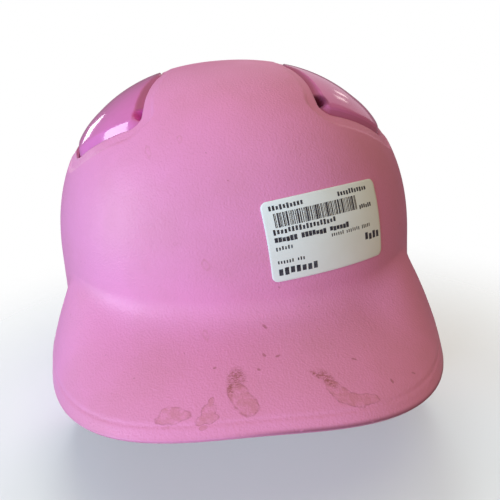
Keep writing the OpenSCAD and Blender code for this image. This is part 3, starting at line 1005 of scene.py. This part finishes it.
def swell(pieces, pressure, cap):
    """Blows closed pieces up as cloth, and holds each point within a cap of where it was."""
    starts = [read_points(piece) for piece in pieces]
    for piece in pieces:
        cloth = piece.modifiers.new("cloth", "CLOTH")
        cloth.settings.use_pressure = True
        cloth.settings.uniform_pressure_force = pressure
        cloth.settings.effector_weights.gravity = 0
        cloth.settings.quality = 5
    for frame_number in range(1, 21):
        scene.frame_set(frame_number)
    for piece, start in zip(pieces, starts):
        apply_modifiers(piece)
        move = read_points(piece) - start
        far = np.linalg.norm(move, axis=1, keepdims=True)
        write_points(piece, start + move * np.minimum(1, cap / np.maximum(far, 1e-9)))
    scene.frame_set(1)


def smooth_once(piece):
    modify(piece, "SUBSURF", levels=1, render_levels=1)
    piece.data.shade_smooth()


def surface_of(piece):
    mesh = piece.data
    return BVHTree.FromPolygons([v.co / MM for v in mesh.vertices], [p.vertices for p in mesh.polygons])


def stitches(name, path, surface, thread, body, step=3.4, length=2.5, radius=0.28):
    """Thread stitches along a closed path, lying on a surface."""
    path = np.vstack([path, path[:1]])
    walked = np.concatenate([[0], np.cumsum(norm(np.diff(path, axis=0)))])
    count = int(walked[-1] / step)
    bends = np.linspace(-0.5, 0.5, 5)
    points, faces = [], []
    around = 6
    ring = np.radians(np.arange(around) * 360 / around)
    for k in range(count):
        at = (k + 0.5) / count * walked[-1] + bends * length
        line = np.stack([np.interp(at % walked[-1], walked, path[:, i]) for i in range(3)], -1)
        lie = []
        for b, p in zip(bends, line):
            near, n, _, _ = surface.find_nearest(p)
            lie.append((np.array(near) + np.array(n) * (radius * 0.9 - 1.3 * b * b), np.array(n)))
        along = lie[-1][0] - lie[0][0]
        along = along / np.linalg.norm(along)
        start = len(points)
        for b, (p, n) in zip(bends, lie):
            side = np.cross(along, n)
            thin = radius * (1 - 1.6 * b * b)
            points += [p + thin * (np.cos(t) * side + np.sin(t) * n) for t in ring]
        for i in range(len(bends) - 1):
            low, high = start + i * around, start + (i + 1) * around
            for j, after in zip(range(around), [*range(1, around), 0]):
                faces.append([low + j, low + after, high + after, high + j])
        faces += [[start + j for j in reversed(range(around))], [high + j for j in range(around)]]
    return mesh_piece(name, np.array(points), faces, thread, body)


EAR_MID, EAR_HALF = np.array([96.0, EAR_U + 0.02]), np.array([20.0, 0.38])
EAR_DEPTH = WALL + SEAT_GAP + 1.2 + 0.3
DEGREE_MM = 1.745  # one degree round the shell beside an ear


def ear_ring(side, share, depth, turns=np.arange(0, 360, 4.0)):
    """Points round an ear pad: share is 0 at its hole and 1 at its outside."""
    s, c = sin_cos(turns)
    hole = np.array([EAR_A, EAR_U]) + (EAR_R + 4) * np.stack([c / DEGREE_MM, -s / BELT_Z], -1)
    outside = EAR_MID + round_box(EAR_HALF, turns) * [1, -1]
    q = hole + share * (outside - hole)
    return skin(q[:, 0], q[:, 1], depth) * [1 if side == "left" else -1, 1, 1]


def build_ear_pads(knit, thread, wall):
    pads = []
    for side in SIDES:
        shares = (0.1, 0.35, 0.65, 0.93)
        front = [ear_ring(side, s, EAR_DEPTH + 1.2) for s in shares]
        back = [ear_ring(side, s, EAR_DEPTH + d) for s, d in zip(shares, (8, 10.2, 10.2, 8))]
        faces = grid_faces(len(shares), len(front[0]), True)
        points, faces = sewn(np.vstack(front), np.vstack(back), faces)
        if side == "right":
            faces = [f[::-1] for f in faces]
        piece = mesh_piece(side + "_ear_cover", points, faces, knit, side + "_ear_cushion")
        remesh(piece, 2.6)
        pads.append(piece)
    swell(pads, 4.0, 2.2)
    for side, piece in zip(SIDES, pads):
        smooth_once(piece)
        points = keep_clear(read_points(piece), wall, SEAT_GAP + 1.35)
        seam = ear_ring(side, 0.80, EAR_DEPTH + EAR_PAD_T, np.arange(0, 360, 1.0))
        tree = KDTree(len(seam))
        for k, p in enumerate(seam):
            tree.insert(p, k)
        tree.balance()
        n = np.array([v.normal for v in piece.data.vertices])
        away = np.array([tree.find(p)[2] for p in points])
        write_points(piece, points - n * (1.3 * np.exp(-(away / 2.6) ** 2))[:, None])
        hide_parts(side + "_ear_pad")
        sewing = stitches(side + "_ear_stitches", seam, surface_of(piece), thread, side + "_ear_cushion")


def build_sweatband(knit, thread):
    turns = np.arange(0, 360, 4.0)
    depth = WALL + 2.6 * SEAT_GAP + RING_T

    def rings(shares, depths):
        flat = [aim((0, 9), s * round_box((42, 12), turns)) for s in shares]
        return np.vstack([dome_at(p, d) for p, d in zip(flat, depths)])
    front = rings((0.05, 0.5, 0.96), [depth] * 3)
    back = rings((0.05, 0.5, 0.96), [depth + d for d in (2.6, 2.6, 1.6)])
    faces = grid_faces(3, len(turns), True) + [list(range(len(turns)))]
    points, faces = sewn(front, back, faces)
    piece = mesh_piece("sweatband", points, faces, knit)
    remesh(piece, 1.4)
    swell([piece], 3.0, 0.9)
    smooth_once(piece)
    points = read_points(piece)
    depths = norm(points - dome_at(points - CENTRE, np.zeros(len(points))))
    inward = (CENTRE - points) / np.linalg.norm(CENTRE - points, axis=1, keepdims=True)
    points = points + inward * np.maximum(depth - 0.4 - depths, 0)[:, None]
    seam = rings((0.86,), [depth + 4])
    write_points(piece, points)
    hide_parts("brow_sweatband")
    sewing = stitches("sweatband_stitches", seam, surface_of(piece), thread, "helmet", 3.0, 2.1, 0.22)


# ---- hardware and hook tape, as solids of revolution ----

def axes_about(n):
    """Three axes with the third along a unit normal and the first level."""
    side = np.cross([0, 0, 1], n)
    side = side / np.linalg.norm(side)
    return np.stack([side, np.cross(n, side), n])


def skin_frame(a, u):
    return outer(a, u), axes_about(normal(a, u))


def turned(profile, origin, axes, segments=64, closed=False, shape=None):
    """Turns (radius, height) pairs about the third axis. shape can shift the local points."""
    profile = np.asarray(profile, float)
    t = np.linspace(0, 2 * np.pi, segments, endpoint=False)
    r, z = profile[:, :1], profile[:, 1:]
    local = np.stack([r * np.cos(t), r * np.sin(t), z + 0 * t], -1).reshape(-1, 3)
    if shape:
        local = shape(local)
    rows = len(profile)
    faces = grid_faces(rows, segments, True)
    if closed:
        last = (rows - 1) * segments
        faces += [[last + k, k, (k + 1) % segments, last + (k + 1) % segments] for k in range(segments)]
    else:
        faces += [list(range(segments)), [(rows - 1) * segments + k for k in reversed(range(segments))]]
    return origin + local @ axes, faces


def add_turned(name, parts, material, replaced):
    """One piece of several turned solids, mirrored for the right side."""
    points, faces = joined(parts)
    if name.startswith("right"):
        points, faces = mirrored(points, faces)
    piece = mesh_piece(name, points, faces, material)
    fixer = bmesh.new()
    fixer.from_mesh(piece.data)
    bmesh.ops.recalc_face_normals(fixer, faces=fixer.faces)
    fixer.to_mesh(piece.data)
    fixer.free()
    round_edges(piece, 0.12, 2, 35)
    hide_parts(replaced)


def arc(r0, z0, radius, start, end, steps=6):
    """Quarter rounds for a turned profile, in degrees."""
    t = np.radians(np.linspace(start, end, steps))
    return [(r0 + radius * math.cos(k), z0 + radius * math.sin(k)) for k in t]


def cross_recess(top):
    def shape(local):
        near = np.minimum(np.abs(local[:, 0]), np.abs(local[:, 1]))
        far = np.maximum(np.abs(local[:, 0]), np.abs(local[:, 1]))
        cut = (1 - ease(near, 0.28, 0.5)) * (1 - ease(far, 1.35, 1.75)) * (local[:, 2] < top + 0.6)
        return local + np.stack([0 * cut, 0 * cut, cut * 0.85], -1)
    return shape


def build_hardware(zinc, hook):
    stud, nut = skin_frame(*STUD_AT), skin_frame(*NUT_AT)
    stud_profile = [(0.3, -4.6), (1.5, -4.6), *arc(1.5, -4.2, 0.4, -60, 0), (1.9, -0.1), (5.4, 0.1),
                    *arc(5.9, 0.4, 0.3, -90, 90), (4.2, 0.75), (3.2, 0.95), (2.75, 1.2), (2.7, 1.6),
                    *arc(2.9, 1.95, 0.2, -90, 0, 4), (3.1, 3.6), *arc(2.2, 3.6, 0.9, 0, 80),
                    (1.2, 4.42), (0.3, 4.3)]
    washer_profile = [(2.05, -4.25), (5.6, -4.25), *arc(5.75, -4.0, 0.25, -90, 0, 4), (6.0, -3.7),
                      (5.6, -3.35), (2.05, -3.35)]
    thread = [(2.1 + 0.28 * (k % 2), z) for k, z in enumerate(np.arange(-0.3, -4.3, -0.3))]
    nut_profile = [(2.5, -4.4), (6.1, -4.4), *arc(6.2, -4.1, 0.3, -90, 0, 4), (6.5, -3.6), (6.1, -3.3),
                   (3.4, -3.3), (3.0, -3.0), (3.0, -0.4), (2.8, -0.2), (2.4, -0.2), *thread]
    hooks = [(-2, -0.27), (16, -0.17), (16, 0.17), (3, 0.31)]
    for side in SIDES:
        screws = [turned(*screw(t)) for t in SCREW_TURNS]
        for name, node, parts in (("_stud", "_snap_stud", [turned(stud_profile, *stud, 72)]),
                                  ("_washer", "_snap_washer", [turned(washer_profile, *stud, 72, True)]),
                                  ("_nut", "_guard_nut", [turned(nut_profile, *nut, 72, True)]),
                                  ("_screws", "_panel_screws", screws)):
            add_turned(side + name, parts, zinc, side + node)
        low = -WALL - SEAT_GAP
        rng = np.random.default_rng(5)
        radii = np.linspace(0.15, 6.1, 26)
        disc = [(0.1, low), (6.2, low), (6.5, low - 0.3), (6.5, low - 0.8)]
        disc += [(r, low - 0.95) for r in radii[::-1]]

        def fuzzy(local):
            top = local[:, 2] < low - 0.9
            return local - np.stack([0 * top, 0 * top, top * rng.uniform(-0.1, 0.25, len(local))], -1)
        parts = [turned(disc, *skin_frame(EAR_A + a, EAR_U + u), 60, False, fuzzy) for a, u in hooks]
        add_turned(side + "_hook_tape", parts, hook, side + "_hook_patches")


SCREW_TOP, SCREW_DEPTH, SCREW_TURNS = -5.7, 1.9, (20, 80, 128, 205, 292)


def screw(turn):
    """A panel screw's turned profile and place, at an angle round the vent outline."""
    s, c = sin_cos(turn)
    p = (vent_edge(np.array([turn])) + FLANGE_W / 2 + 0.5)[:, None] * np.array([[c, s]])
    d = aim(VENT_AXIS, p)
    tip = dome_at(d, SCREW_DEPTH)[0]
    axes = axes_about(d[0] / np.linalg.norm(d[0]))
    ridge = [(1.3 - 0.3 * (k % 2), z) for k, z in enumerate(np.arange(-3.7, -0.4, 0.27))]
    head = [(r, SCREW_TOP + 0.05 * r * r) for r in np.linspace(0.1, 2.3, 12)]
    profile = [*head, *arc(2.3, -5.1, 0.5, -80, 0, 5), (2.8, -4.2), (2.5, -3.9), (1.3, -3.85), *ridge,
               (0.5, -0.1), (0.1, 0)]
    return profile, tip, axes, 48, False, cross_recess(SCREW_TOP)


# ---- run ----

make_camera()
make_stage()
INNER = build_shell(shell_material())
GLOSS = gloss_material()
for side_name in SIDES:
    build_panel(side_name, GLOSS)
build_label(paper_material(), ink_material())

build_foam(foam_material("pad_foam", (0.045, 0.045, 0.052)))
THREAD = thread_material("grey_thread", (0.16, 0.16, 0.18))
build_ear_pads(knit_material("ear_pad_knit", (0.02, 0.02, 0.024)), THREAD, INNER)
build_sweatband(knit_material("sweatband_knit", (0.05, 0.05, 0.06)), THREAD)
build_hardware(zinc_material(), knit_material("hook_tape", (0.012, 0.012, 0.014)))
